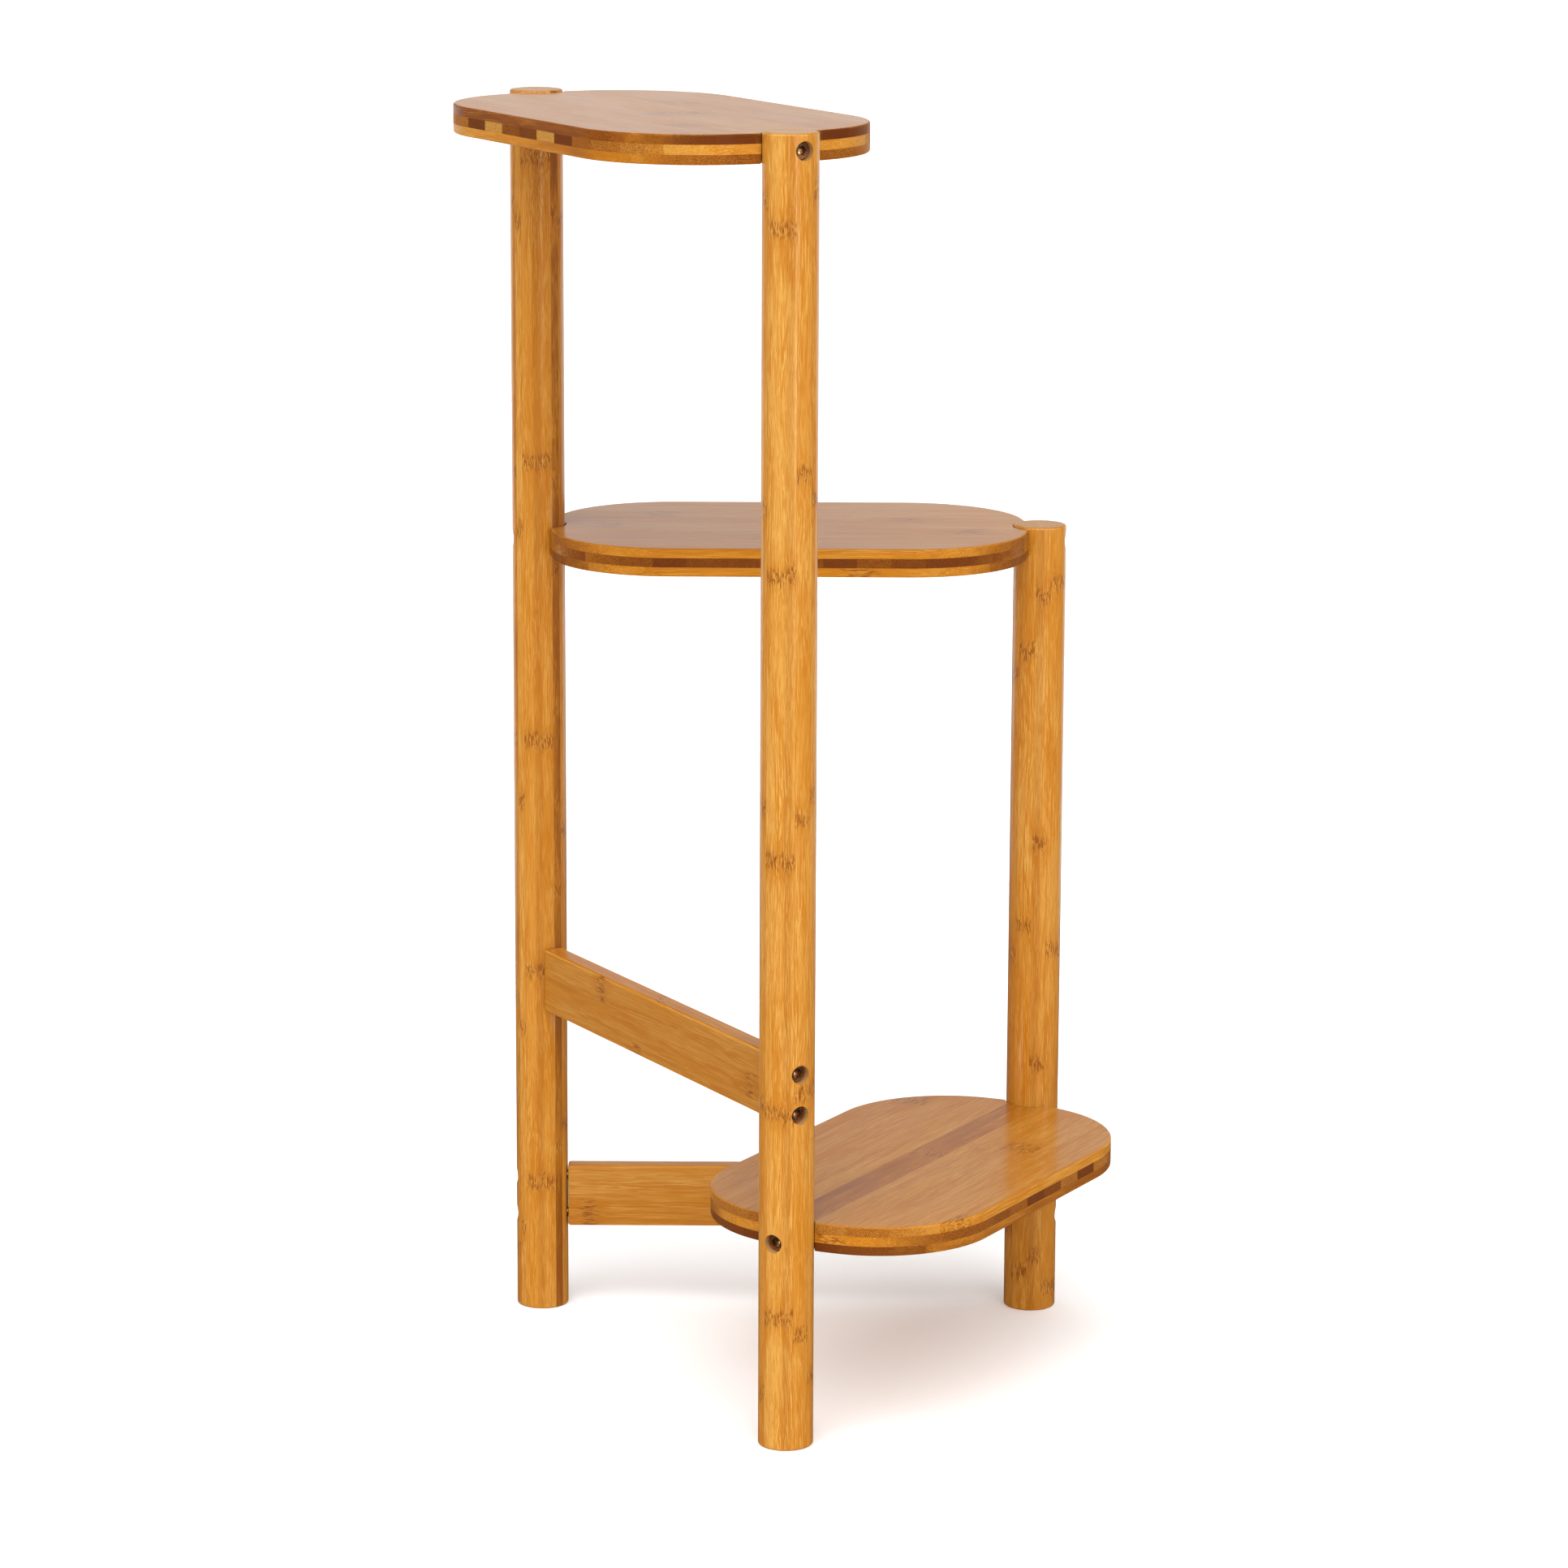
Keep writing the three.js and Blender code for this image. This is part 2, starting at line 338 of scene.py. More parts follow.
def smooth(piece, angle=32):
    """Smooth shading that stays flat on flat faces and sharp at corners."""
    activate(piece)
    bpy.ops.object.shade_smooth_by_angle(angle=math.radians(angle))
    modifier = piece.modifiers.new("flat faces stay flat", "WEIGHTED_NORMAL")
    modifier.keep_sharp = True
    bpy.ops.object.modifier_apply(modifier=modifier.name)


def added(name, add, **settings):
    """Adds an object with one of Blender's operators, and names it."""
    deselect_all()
    add(**settings)
    thing = bpy.context.view_layer.objects.active
    thing.name = name
    return thing


def new_cylinder(name, sides, radius, bottom, top, place=(0, 0)):
    """An upright cylinder, to start a piece or a cutter from."""
    piece = added(
        name, bpy.ops.mesh.primitive_cylinder_add, vertices=sides, radius=radius, depth=top - bottom,
        location=(*place, (bottom + top) / 2),
    )
    apply_place(piece, piece.matrix_world.copy())
    return piece


def draw_out(along, up):
    """In edit mode, draws out what is selected along X or up Z."""
    bpy.ops.mesh.extrude_region_move(TRANSFORM_OT_translate={"value": (along, 0, up)})


def draw_bottom(piece, inset, up):
    """Goes into edit mode, insets a cylinder's bottom and draws it out along Z."""
    edit(piece)
    pick(piece, "faces", lambda face: face.normal.z < -0.9)
    bpy.ops.mesh.inset(thickness=inset)
    draw_out(0, up)


def ease(piece, wanted, radius, segments):
    """In edit mode, rounds the edges for which wanted is true, or chamfers them with one segment."""
    bpy.ops.mesh.select_mode(type="EDGE")
    pick(piece, "edges", wanted)
    bpy.ops.mesh.bevel(offset=radius, segments=segments, profile=0.5, affect="EDGES")


def border(piece, thickness):
    """In edit mode, insets the faces that look straight up or down."""
    bpy.ops.mesh.select_mode(type="FACE")
    pick(piece, "faces", lambda face: abs(face.normal.z) > 0.999)
    bpy.ops.mesh.inset(thickness=thickness)


def stepped_drill(name, wide, narrow, step, start, end, sides):
    """A cutter along Z: wide from start down to step, then narrow down to end."""
    drill = new_cylinder(name, sides, wide, step, start)
    draw_bottom(drill, wide - narrow, end - step)
    end_edit()
    return drill


def dress(piece, node, slot, material):
    """Gives a finished piece its finish, and puts it in place of its node."""
    piece.name = piece.data.name = "bamboo_" + node if slot.endswith("bamboo") else "metal_" + node
    piece.data.materials.clear()
    piece.data.materials.append(material)
    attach(piece, "root")
    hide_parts(node)


def make_leg(leg, sizes, drill):
    height = box_size("leg_" + leg).z
    post = new_cylinder("leg " + leg, sizes.leg_sides, sizes.leg_diameter / 2, 0, height, LEG_PLACE[leg])
    edit(post)
    ease(post, lambda edge: lies_at(edge, 2, 0, height), sizes.leg_rounding, LEG_END_STEPS)
    border(post, LEG_BORDER)
    bolts = [bolt for bolt in BOLTS if leg_of(bolt) == leg]
    for bolt in bolts:
        for side in (-1, 1):
            select_all()
            level = box_centre(bolt).z + side * HOLE_COLLAR
            if level < height - COLLAR_MARGIN:
                bpy.ops.mesh.bisect(plane_co=(0, 0, level), plane_no=UP)
    end_edit()
    for bolt in bolts:
        drill.matrix_world = bolt_place(bolt)
        cut(post, drill)
    smooth(post)
    return post


def bearing_end(sizes):
    """How far from its middle a board or rail bears on its leg."""
    return HALF_SPACING - sizes.leg_diameter / 2 - sizes.bearing_gap


def make_shelf(sizes):
    """A shelf about the origin, along X: its outline spun from six arcs, thickened, eased and notched."""
    half_width, half_height = SHELF_SIZE.yz / 2
    half_length = bearing_end(sizes) + sizes.notch_depth - ARC_TRIM
    corner = half_width - sizes.corner_inset
    tip = corner * sizes.tip_flatness
    tip_centre = half_length - tip
    corner_centre = tip_centre + math.sqrt((tip - corner) ** 2 - sizes.corner_inset ** 2)
    turn = math.asin(sizes.corner_inset / (tip - corner))
    board = added("shelf", bpy.ops.mesh.primitive_plane_add, size=0.1, location=(0, 0, 0))
    edit(board, "VERT")
    select_all()
    bpy.ops.mesh.merge(type="CENTER")
    select_all()
    bpy.ops.transform.translate(value=(corner_centre, -half_width, -half_height))
    for side in (1, -1):
        arcs = (
            (corner_centre, -sizes.corner_inset, math.pi / 2 - turn, CORNER_STEPS),
            (tip_centre, 0, 2 * turn, TIP_STEPS),
            (corner_centre, sizes.corner_inset, math.pi / 2 - turn, CORNER_STEPS),
        )
        for x, y, angle, steps in arcs:
            bpy.ops.mesh.spin(
                steps=steps, angle=-angle, center=(side * x, side * y, 0), axis=UP, use_auto_merge=False
            )
        if side == 1:
            draw_out(-2 * corner_centre, 0)
    pick(board, "verts", lambda vert: len(vert.link_edges) == 1)
    bpy.ops.mesh.edge_face_add()
    select_all()
    bpy.ops.mesh.edge_face_add()
    draw_out(0, 2 * half_height)
    select_all()
    bpy.ops.mesh.normals_make_consistent(inside=False)
    faces = (-half_height, half_height)
    ease(board, lambda edge: lies_at(edge, 2, *faces), sizes.shelf_rounding, SHELF_EDGE_STEPS)
    border(board, SHELF_BORDER)
    end_edit()

    notch = make_notch_cutter(sizes, half_height)
    drill = insert_drill(sizes)
    for side in (-1, 1):
        notch.matrix_world = Matrix.Translation((side * HALF_SPACING, 0, 0))
        cut(board, notch)
        drill.matrix_world = Matrix.Rotation(side * math.pi / 2, 4, "Y")
        cut(board, drill)
    remove(notch)
    remove(drill)
    smooth(board)
    return board


def make_notch_cutter(sizes, half_height):
    """The cutter for a shelf's tip, upright about the origin, flared so that the notch's edges are eased."""
    bearing = sizes.leg_diameter / 2 + sizes.bearing_gap
    easing = sizes.shelf_rounding
    wall = half_height - easing
    notch = new_cylinder("notch cutter", sizes.leg_sides, bearing, -wall, wall)
    edit(notch)
    for way in (1, -1):
        pick(notch, "faces", lambda face: face.normal.z * way > 0.9 and face.calc_center_median().z * way > 0)
        radius, height = bearing, wall
        for step in range(1, SHELF_EDGE_STEPS + 1):
            angle = step / SHELF_EDGE_STEPS * math.pi / 2
            new_radius = bearing + easing * (1 - math.cos(angle))
            new_height = wall + easing * math.sin(angle)
            draw_out(0, way * (new_height - height))
            grow = new_radius / radius
            bpy.ops.transform.resize(value=(grow, grow, 1), center_override=(0, 0, way * new_height))
            radius, height = new_radius, new_height
        draw_out(0, way * half_height)
    end_edit()
    return notch


def insert_drill(sizes):
    """The stepped hole for an insert and its bolt, in the end of a board or rail that faces +Z."""
    wide, narrow = sizes.insert_diameter / 2, sizes.shank_diameter / 2 + sizes.shank_gap
    step = bearing_end(sizes) - sizes.insert_depth
    end = step - sizes.pilot_depth
    return stepped_drill("insert drill", wide, narrow, step, HALF_SPACING, end, sizes.hole_sides)


def make_rail(sizes):
    """A rail about the origin, along X, with eased edges and its ends drilled for two inserts each."""
    size = RAIL_SIZE
    bar = added("rail", bpy.ops.mesh.primitive_cube_add, size=1)
    edit(bar)
    select_all()
    bpy.ops.transform.resize(value=size, center_override=(0, 0, 0))
    ease(bar, lambda edge: close(edge.calc_length(), size.x), sizes.rail_rounding, RAIL_EDGE_STEPS)
    ease(bar, lambda edge: lies_at(edge, 0, -size.x / 2, size.x / 2), sizes.rail_end_rounding, RAIL_END_STEPS)
    end_edit()
    drill = insert_drill(sizes)
    middle = box_centre("rail_lower").z
    heights = {round(box_centre(bolt).z - middle, 6) for bolt in BOLTS if span_of(bolt) == "rail_lower"}
    for height in sorted(heights):
        for side in (-1, 1):
            drill.matrix_world = (
                Matrix.Translation((0, 0, height)) @ Matrix.Rotation(side * math.pi / 2, 4, "Y")
            )
            cut(bar, drill)
    remove(drill)
    smooth(bar)
    return bar


def make_bolt(sizes):
    """A socket-head bolt about the origin, its head towards +Z, its leg's axis at Z = 0."""
    head = BOLT_SIZE.y / 2
    seat = HEAD_TOP - sizes.head_height
    tip = HEAD_TOP - BOLT_SIZE.x
    bolt = new_cylinder("bolt", sizes.hole_sides, head, seat, HEAD_TOP)
    draw_bottom(bolt, head - sizes.shank_diameter / 2, tip - seat)
    ease(bolt, lambda edge: lies_at(edge, 2, tip), BOLT_TIP_CHAMFER, 1)
    ease(bolt, lambda edge: lies_at(edge, 2, HEAD_TOP), sizes.head_chamfer, HEAD_EDGE_STEPS)
    end_edit()

    across = sizes.socket_width / 2 / math.cos(math.pi / 6)
    depth = sizes.socket_depth
    socket = new_cylinder("socket cutter", 6, across, HEAD_TOP - depth, HEAD_TOP + depth)
    draw_bottom(socket, across * 0.25, -0.5 * MM)  # the point that the drill left below the flats
    bpy.ops.transform.resize(value=(0.2, 0.2, 1), center_override=(0, 0, HEAD_TOP))
    end_edit()
    cut(bolt, socket)
    remove(socket)
    smooth(bolt, 28)

    place = bolt.data.attributes.new("bolt_place", "FLOAT_VECTOR", "POINT")
    for vertex, value in zip(bolt.data.vertices, place.data):
        value.vector = vertex.co / MM
    return bolt


def fit_copies(piece, spans, slot, material, finish):
    """Puts a finished copy of a board or rail in each of its places."""
    for span in spans:
        copy = copy_of(piece, span)
        apply_place(copy, span_place(span))
        dress(copy, span, slot, material(span, finish))
    remove(piece)


# ---- Shader nodes

class Wiring:
    """Adds nodes to a node tree and wires them from left to right."""

    def __init__(self, tree):
        self.tree = tree
        self.column = 0

    def add(self, kind, inputs=(), **settings):
        node = self.tree.nodes.new(kind)
        node.location = (self.column * 170, -40 * (self.column % 5))
        self.column += 1
        for name, value in settings.items():
            setattr(node, name, value)
        for key, value in dict(inputs).items():
            self.feed(node.inputs[key], value)
        return node

    def feed(self, socket, value):
        if isinstance(value, bpy.types.NodeSocket):
            self.tree.links.new(value, socket)
        elif isinstance(value, (tuple, list)) and socket.type == "RGBA" and len(value) == 3:
            socket.default_value = (*value, 1)
        else:
            socket.default_value = value

    def feed_all(self, node, inputs):
        """Feeds a node's sockets by their names, which have underscores for spaces."""
        for name, value in inputs.items():
            self.feed(node.inputs[name.replace("_", " ")], value)

    def math(self, operation, *values, clamp=False):
        node = self.add("ShaderNodeMath", dict(enumerate(values)), operation=operation, use_clamp=clamp)
        return node.outputs[0]

    def times(self, first, second):
        return self.math("MULTIPLY", first, second)

    def line(self, value, slope, start, clamp=False):
        """A value times a slope, from a start."""
        return self.math("MULTIPLY_ADD", value, slope, start, clamp=clamp)

    def absolute(self, value):
        return self.math("ABSOLUTE", value)

    def from_middle(self, value):
        """How far a value is from the middle of its whole step, from -0.5 to 0.5."""
        return self.math("SUBTRACT", self.math("FRACT", value), 0.5)

    def vector(self, operation, *values):
        node = self.add("ShaderNodeVectorMath", dict(enumerate(values)), operation=operation)
        return node.outputs["Value" if operation in ("DOT_PRODUCT", "LENGTH") else "Vector"]

    def scale(self, vector, across, along):
        """Scales a vector across the grain, which is X and Y, and along it."""
        return self.vector("MULTIPLY", vector, (across, across, along))

    def join(self, x, y, z):
        return self.add("ShaderNodeCombineXYZ", {0: x, 1: y, 2: z}).outputs[0]

    def split(self, vector):
        return self.add("ShaderNodeSeparateXYZ", {0: vector}).outputs

    def span(self, value, low, high, start=0.0, end=1.0, smooth=True):
        """Maps a value from low..high to start..end, and holds it there."""
        node = self.add(
            "ShaderNodeMapRange",
            {"Value": value, "From Min": low, "From Max": high, "To Min": start, "To Max": end},
            interpolation_type="SMOOTHSTEP" if smooth else "LINEAR",
        )
        return node.outputs["Result"]

    def noise(self, vector, fineness, detail=1.0, roughness=0.5):
        fine = self.scale(vector, *fineness)
        inputs = {"Vector": fine, "Scale": 1.0, "Detail": detail, "Roughness": roughness}
        return self.add("ShaderNodeTexNoise", inputs, noise_dimensions="3D").outputs

    def cells(self, vector, fineness):
        inputs = {"Vector": self.scale(vector, *fineness), "Scale": 1.0, "Randomness": 1.0}
        return self.add("ShaderNodeTexVoronoi", inputs, feature="F1", voronoi_dimensions="3D").outputs

    def mix(self, share, first, second):
        """Mixes two colours, or two numbers."""
        coloured = any(
            isinstance(v, (tuple, list)) or (isinstance(v, bpy.types.NodeSocket) and v.type == "RGBA")
            for v in (first, second)
        )
        node = self.add("ShaderNodeMix", data_type="RGBA" if coloured else "FLOAT")
        a, b = (6, 7) if coloured else (2, 3)
        self.feed(node.inputs[0], share)
        self.feed(node.inputs[a], first)
        self.feed(node.inputs[b], second)
        return node.outputs[2 if coloured else 0]

    def bump(self, height, strength, depth, **normal):
        inputs = {"Height": height, "Strength": strength, "Distance": depth, **normal}
        return self.add("ShaderNodeBump", inputs).outputs[0]

    def group(self, name, **inputs):
        node = self.add("ShaderNodeGroup", node_tree=shared(name))
        self.feed_all(node, inputs)
        return node.outputs


FLOAT, COLOUR, VECTOR = "NodeSocketFloat", "NodeSocketColor", "NodeSocketVector"
FIBRE_MASKS = dict.fromkeys(
    ("Streak", "Fine", "Fleck", "Speckle", "Halo", "Ring", "Ridge", "Pit", "Drift"), FLOAT
)

# The colours that the colour group takes, and their names among the finish's settings.
FINISH_COLOURS = {
    "Pale": "pale", "Gold": "gold", "Streak Colour": "streak", "Ring Colour": "ring", "Pit Colour": "pit",
    "Dark": "dark", "End Pale": "end_pale", "End Amber": "end_amber", "End Dark": "end_dark",
}

# How finely each fibre or mark varies, per millimetre, across the grain and along it.
FINENESS = {
    "bend": (0.03, 0.014), "swirl": (0.22, 0.16), "cluster": (0.16, 0.014), "streak": (0.95, 0.035),
    "fine": (2.1, 0.085), "fleck": (1.0, 0.13), "speckle": (1.7, 0.12), "drift": (0.06, 0.010),
    "jag": (0.30, 0.02), "dash": (1.25, 0.21), "pits": (0.45, 0.30), "waves": (0.05, 0.02),
    "specks": (0.11, 0.11),
}

# A strip's three random numbers times this put it in a part of the noise of its own.
STRIP_OFFSET = (137.0, 83.0, 911.0)


def new_group(name, takes, gives):
    """A shader node group with named sockets. Returns its wiring, its inputs and a way to set its outputs."""
    tree = bpy.data.node_groups.new(name, "ShaderNodeTree")
    for way, sockets in (("INPUT", takes), ("OUTPUT", gives)):
        for label, kind in sockets.items():
            tree.interface.new_socket(label, in_out=way, socket_type=kind)
    wiring = Wiring(tree)
    source = wiring.add("NodeGroupInput").outputs

    def give(**outputs):
        wiring.feed_all(wiring.add("NodeGroupOutput"), outputs)

    return wiring, source, give


def strip_layout_group():
    """Finds the glued strip that a point lies in: strips lie in rows, each row shifted from the last."""
    sizes = dict.fromkeys(("Width", "Thickness", "Across Shift", "Depth Shift", "Seed"), FLOAT)
    w, source, give = new_group(
        "strip layout",
        {"Vector": VECTOR, **sizes},
        {"Column": FLOAT, "Row": FLOAT, "Random": COLOUR, "Glue Line": FLOAT},
    )
    across, depth, _ = w.split(source["Vector"])
    inner = w.times(depth, 0.999)  # keeps a face off the border of two rows
    rows = w.math("DIVIDE", w.math("ADD", inner, source["Depth Shift"]), source["Thickness"])
    row = w.math("FLOOR", rows)
    row_shift = w.math("FRACT", w.times(row, 0.618))
    columns = w.math("DIVIDE", w.math("ADD", across, source["Across Shift"]), source["Width"])
    columns = w.math("ADD", columns, row_shift)
    column = w.math("FLOOR", columns)
    random = w.add(
        "ShaderNodeTexWhiteNoise", {"Vector": w.join(column, row, source["Seed"])}, noise_dimensions="3D"
    ).outputs["Color"]
    glue = []
    for share, size in ((columns, source["Width"]), (rows, source["Thickness"])):
        edge = w.times(w.math("SUBTRACT", 0.5, w.absolute(w.from_middle(share))), size)
        glue.append(w.span(edge, 0.0, 0.35, 1.0, 0.0))
    give(Column=column, Row=row, Random=random, Glue_Line=w.math("MAXIMUM", *glue))


def ring_spacing_group():
    """How far a point is from the nearest culm ring of its strip, in millimetres, along the grain."""
    w, source, give = new_group(
        "ring spacing", dict.fromkeys(("Along", "Spacing", "Phase", "Stretch"), FLOAT), {"From Ring": FLOAT}
    )
    spacing = w.times(source["Spacing"], w.line(source["Stretch"], 0.5, 0.8))
    rings = w.math("ADD", w.math("DIVIDE", source["Along"], spacing), source["Phase"])
    give(From_Ring=w.times(w.from_middle(rings), spacing))


def bamboo_fibre_group():
    """The fibres of a bamboo strip, and the marks round its culm rings. Millimetres, Z along the grain."""
    w, source, give = new_group(
        "bamboo fibre",
        {"Vector": VECTOR, "From Ring": FLOAT, "Random": COLOUR},
        {**FIBRE_MASKS, "Height": FLOAT},
    )
    own = w.vector("MULTIPLY_ADD", source["Random"], STRIP_OFFSET, source["Vector"])
    bend, swirl = (
        w.vector("SUBTRACT", w.noise(own, FINENESS[name])["Color"], (0.5, 0.5, 0.5))
        for name in ("bend", "swirl")
    )
    near = w.times(w.span(w.absolute(source["From Ring"]), 2.0, 17.0, 1.0, 0.0), 1.6)
    grain = w.vector("MULTIPLY_ADD", bend, (6.0, 6.0, 0.0), own)
    grain = w.vector("MULTIPLY_ADD", swirl, w.join(near, near, 0.0), grain)

    cluster = w.span(w.noise(grain, FINENESS["cluster"])["Fac"], 0.32, 0.68, 0.25, 1.0)
    streak = w.noise(grain, FINENESS["streak"], 2.0, 0.6)["Fac"]
    streak = w.times(w.span(streak, 0.46, 0.56), cluster)
    fine = w.noise(grain, FINENESS["fine"])["Fac"]
    fine = w.times(w.span(fine, 0.45, 0.55), w.line(cluster, 0.5, 0.5))
    fleck = w.span(w.cells(grain, FINENESS["fleck"])["Distance"], 0.12, 0.30, 1.0, 0.0)
    speckle = w.span(w.cells(own, FINENESS["speckle"])["Distance"], 0.28, 0.52, 1.0, 0.0)
    drift = w.noise(grain, FINENESS["drift"], 3.0, 0.68)["Fac"]

    jag = w.noise(own, FINENESS["jag"], 2.0, 0.65)["Fac"]
    ragged = w.absolute(w.line(w.math("SUBTRACT", jag, 0.5), 14.0, source["From Ring"]))
    band = w.span(ragged, 2.0, 7.0, 1.0, 0.0)
    dash = w.span(w.noise(grain, FINENESS["dash"], 1.5, 0.6)["Fac"], 0.47, 0.55)
    ring = w.times(band, w.line(dash, 0.75, w.times(fine, 0.25)))
    pits = w.cells(own, FINENESS["pits"])
    pit = w.span(pits["Distance"], 0.10, 0.18, 1.0, 0.0)
    pit = w.times(pit, w.math("GREATER_THAN", pits["Color"], 0.5))
    pit = w.times(pit, w.span(ragged, 1.5, 4.0, 1.0, 0.0))
    halo = w.times(w.span(ragged, 2.0, 20.0, 1.0, 0.0), w.line(fine, 0.6, 0.4))

    height = w.line(fine, -0.25, w.times(streak, -0.3))
    height = w.line(pit, -0.6, w.line(ring, -0.35, height))
    give(
        Streak=streak, Fine=fine, Fleck=fleck, Speckle=speckle, Halo=halo, Ring=ring,
        Ridge=w.math("SUBTRACT", band, ring), Pit=pit, Drift=drift, Height=height,
    )


def bamboo_colour_group():
    """Turns the fibres and marks of a strip into its colour."""
    w, source, give = new_group(
        "bamboo colour",
        {"Tone": FLOAT, **FIBRE_MASKS, "Glue Line": FLOAT, "End": FLOAT,
         **dict.fromkeys(FINISH_COLOURS, COLOUR)},
        {"Colour": COLOUR},
    )

    def ramp(value, middle, top, *names):
        """Goes from a first colour to a second at the middle, and to a third at the top."""
        first, second, third = (source[name] for name in names)
        colour = w.mix(w.span(value, 0.0, middle, smooth=False), first, second)
        return w.mix(w.span(value, middle, top, smooth=False), colour, third)

    def mark(colour, mask, share, name):
        return w.mix(w.times(source[mask], share), colour, source[name])

    tone = source["Tone"]
    drifted = w.line(w.math("SUBTRACT", source["Drift"], 0.5), 1.8, tone)
    colour = ramp(drifted, 0.7, 1.15, "Pale", "Gold", "Dark")
    deep = w.mix(w.span(tone, 0.5, 1.2, smooth=False), source["Streak Colour"], source["End Dark"])
    for mask, share in (("Streak", 0.68), ("Fine", 0.70), ("Fleck", 0.42)):
        colour = w.mix(w.times(source[mask], w.line(tone, 0.25, share)), colour, deep)
    colour = mark(colour, "Halo", 0.85, "Streak Colour")
    colour = mark(colour, "Ridge", 0.30, "Pale")
    colour = mark(colour, "Ring", 0.95, "Ring Colour")
    colour = mark(colour, "Pit", 0.85, "Pit Colour")
    soaked = w.line(w.math("SUBTRACT", source["Speckle"], 0.15), 0.55, tone, clamp=True)
    end = ramp(soaked, 0.5, 1.0, "End Pale", "End Amber", "End Dark")
    give(Colour=mark(w.mix(source["End"], colour, end), "Glue Line", 0.25, "Ring Colour"))


def lacquer_group():
    """Brushed lacquer: faint waves, and small flecks caught in it."""
    w, source, give = new_group(
        "lacquer",
        {"Vector": VECTOR, "Base Roughness": FLOAT},
        {"Roughness": FLOAT, "Coat": FLOAT, "Height": FLOAT},
    )
    waves = w.noise(source["Vector"], FINENESS["waves"], 2.0)["Fac"]
    specks = w.span(w.cells(source["Vector"], FINENESS["specks"])["Distance"], 0.02, 0.05, 1.0, 0.0)
    roughness = w.line(waves, 0.16, w.math("SUBTRACT", source["Base Roughness"], 0.08))
    give(
        Roughness=w.line(specks, 0.2, roughness),
        Coat=w.span(waves, 0.2, 0.8, 0.55, 0.85),
        Height=w.line(specks, 0.5, waves),
    )


GROUP_MAKERS = {
    "strip layout": strip_layout_group,
    "ring spacing": ring_spacing_group,
    "bamboo fibre": bamboo_fibre_group,
    "bamboo colour": bamboo_colour_group,
    "lacquer": lacquer_group,
}


def shared(name):
    """A node group that the materials share, made when it is first needed."""
    if name not in bpy.data.node_groups:
        GROUP_MAKERS[name]()
    return bpy.data.node_groups[name]


def new_material(name):
    material = bpy.data.materials.new(name)
    material.use_nodes = True
    material.node_tree.nodes.clear()
    return material, Wiring(material.node_tree)


def finish_material(w, **inputs):
    shader = w.add("ShaderNodeBsdfPrincipled")
    w.feed_all(shader, inputs)
    w.add("ShaderNodeOutputMaterial", {"Surface": shader.outputs[0]})


def local_place(w, centre, turn, tip=0.0):
    """A point in millimetres from a piece's centre, in axes turned with the piece."""
    place = w.add("ShaderNodeTexCoord").outputs["Object"]
    inputs = {"Vector": place, "Location": centre, "Rotation": (0, tip, turn), "Scale": (MM, MM, MM)}
    return w.add("ShaderNodeMapping", inputs, vector_type="TEXTURE").outputs[0]


def stepped(w, value, low, high, steps):
    """A level that changes in steps: each (start, level) holds from its start on."""
    ramp = w.add("ShaderNodeValToRGB", {"Fac": w.span(value, low, high, smooth=False)})
    ramp.color_ramp.interpolation = "CONSTANT"
    stops = ramp.color_ramp.elements
    while len(stops) > 1:
        stops.remove(stops[-1])
    for index, (start, level) in enumerate(steps):
        stop = stops.new((start - low) / (high - low)) if index else stops[0]
        if not index:
            stop.position = 0
        stop.color = (level, level, level, 1)
    return ramp.outputs["Color"]


def nearest_ring(w, along, places, low, high):
    """From the places of a strip's culm rings, how far a point is from the nearest one."""
    places = sorted(places)
    starts = [low] + [(first + second) / 2 for first, second in zip(places, places[1:])]
    shares = [(place - low) / (high - low) for place in places]
    share = stepped(w, along, low, high, list(zip(starts, shares)))
    return w.math("SUBTRACT", along, w.span(share, 0.0, 1.0, low, high, smooth=False))


def tone_by_column(w, column, first, tones):
    """A tone for each strip of a row, from a list that starts at the given column."""
    steps = [(first + index, tone) for index, tone in enumerate(tones)]
    middle = w.math("ADD", column, 0.5)
    return w.span(stepped(w, middle, first, first + len(tones), steps), 0.0, 1.0, smooth=False)


def lamination(w, strips, vector, along, thickness, depth, spacing):
    """Lays out glued strips. Returns the layout, each strip's random number, and the way to a culm ring."""
    layout = w.group(
        "strip layout", Vector=vector, Width=strips["width"], Thickness=thickness,
        Across_Shift=strips["shift"], Depth_Shift=depth, Seed=strips["seed"],
    )
    random, phase, stretch = w.add("ShaderNodeSeparateColor", {0: layout["Random"]}).outputs
    rings = w.group("ring spacing", Along=along, Spacing=spacing, Phase=phase, Stretch=stretch)
    return layout, random, rings["From Ring"]


def own_strips(w, layout, strips, from_ring, tone, along, low, high):
    """Gives some strips their own tones and culm rings, listed by column and row."""
    for (column, row), (own_tone, rings) in strips.items():
        same_column, same_row = (
            w.math("COMPARE", layout[name], float(place), 0.1)
            for name, place in (("Column", column), ("Row", row))
        )
        here = w.times(same_column, same_row)
        from_ring = w.mix(here, from_ring, nearest_ring(w, along, rings, low, high))
        tone = w.mix(here, tone, own_tone)
    return from_ring, tone


def end_grain(w, facing):
    """The share of end grain, from how squarely a surface faces along the grain."""
    return w.span(w.absolute(facing), 0.75, 0.97, 0.0, 0.9)


def off_level(w, level):
    """One on walls and edges, and nought on faces that are level."""
    return w.span(level, 0.94, 0.99, 1.0, 0.0)


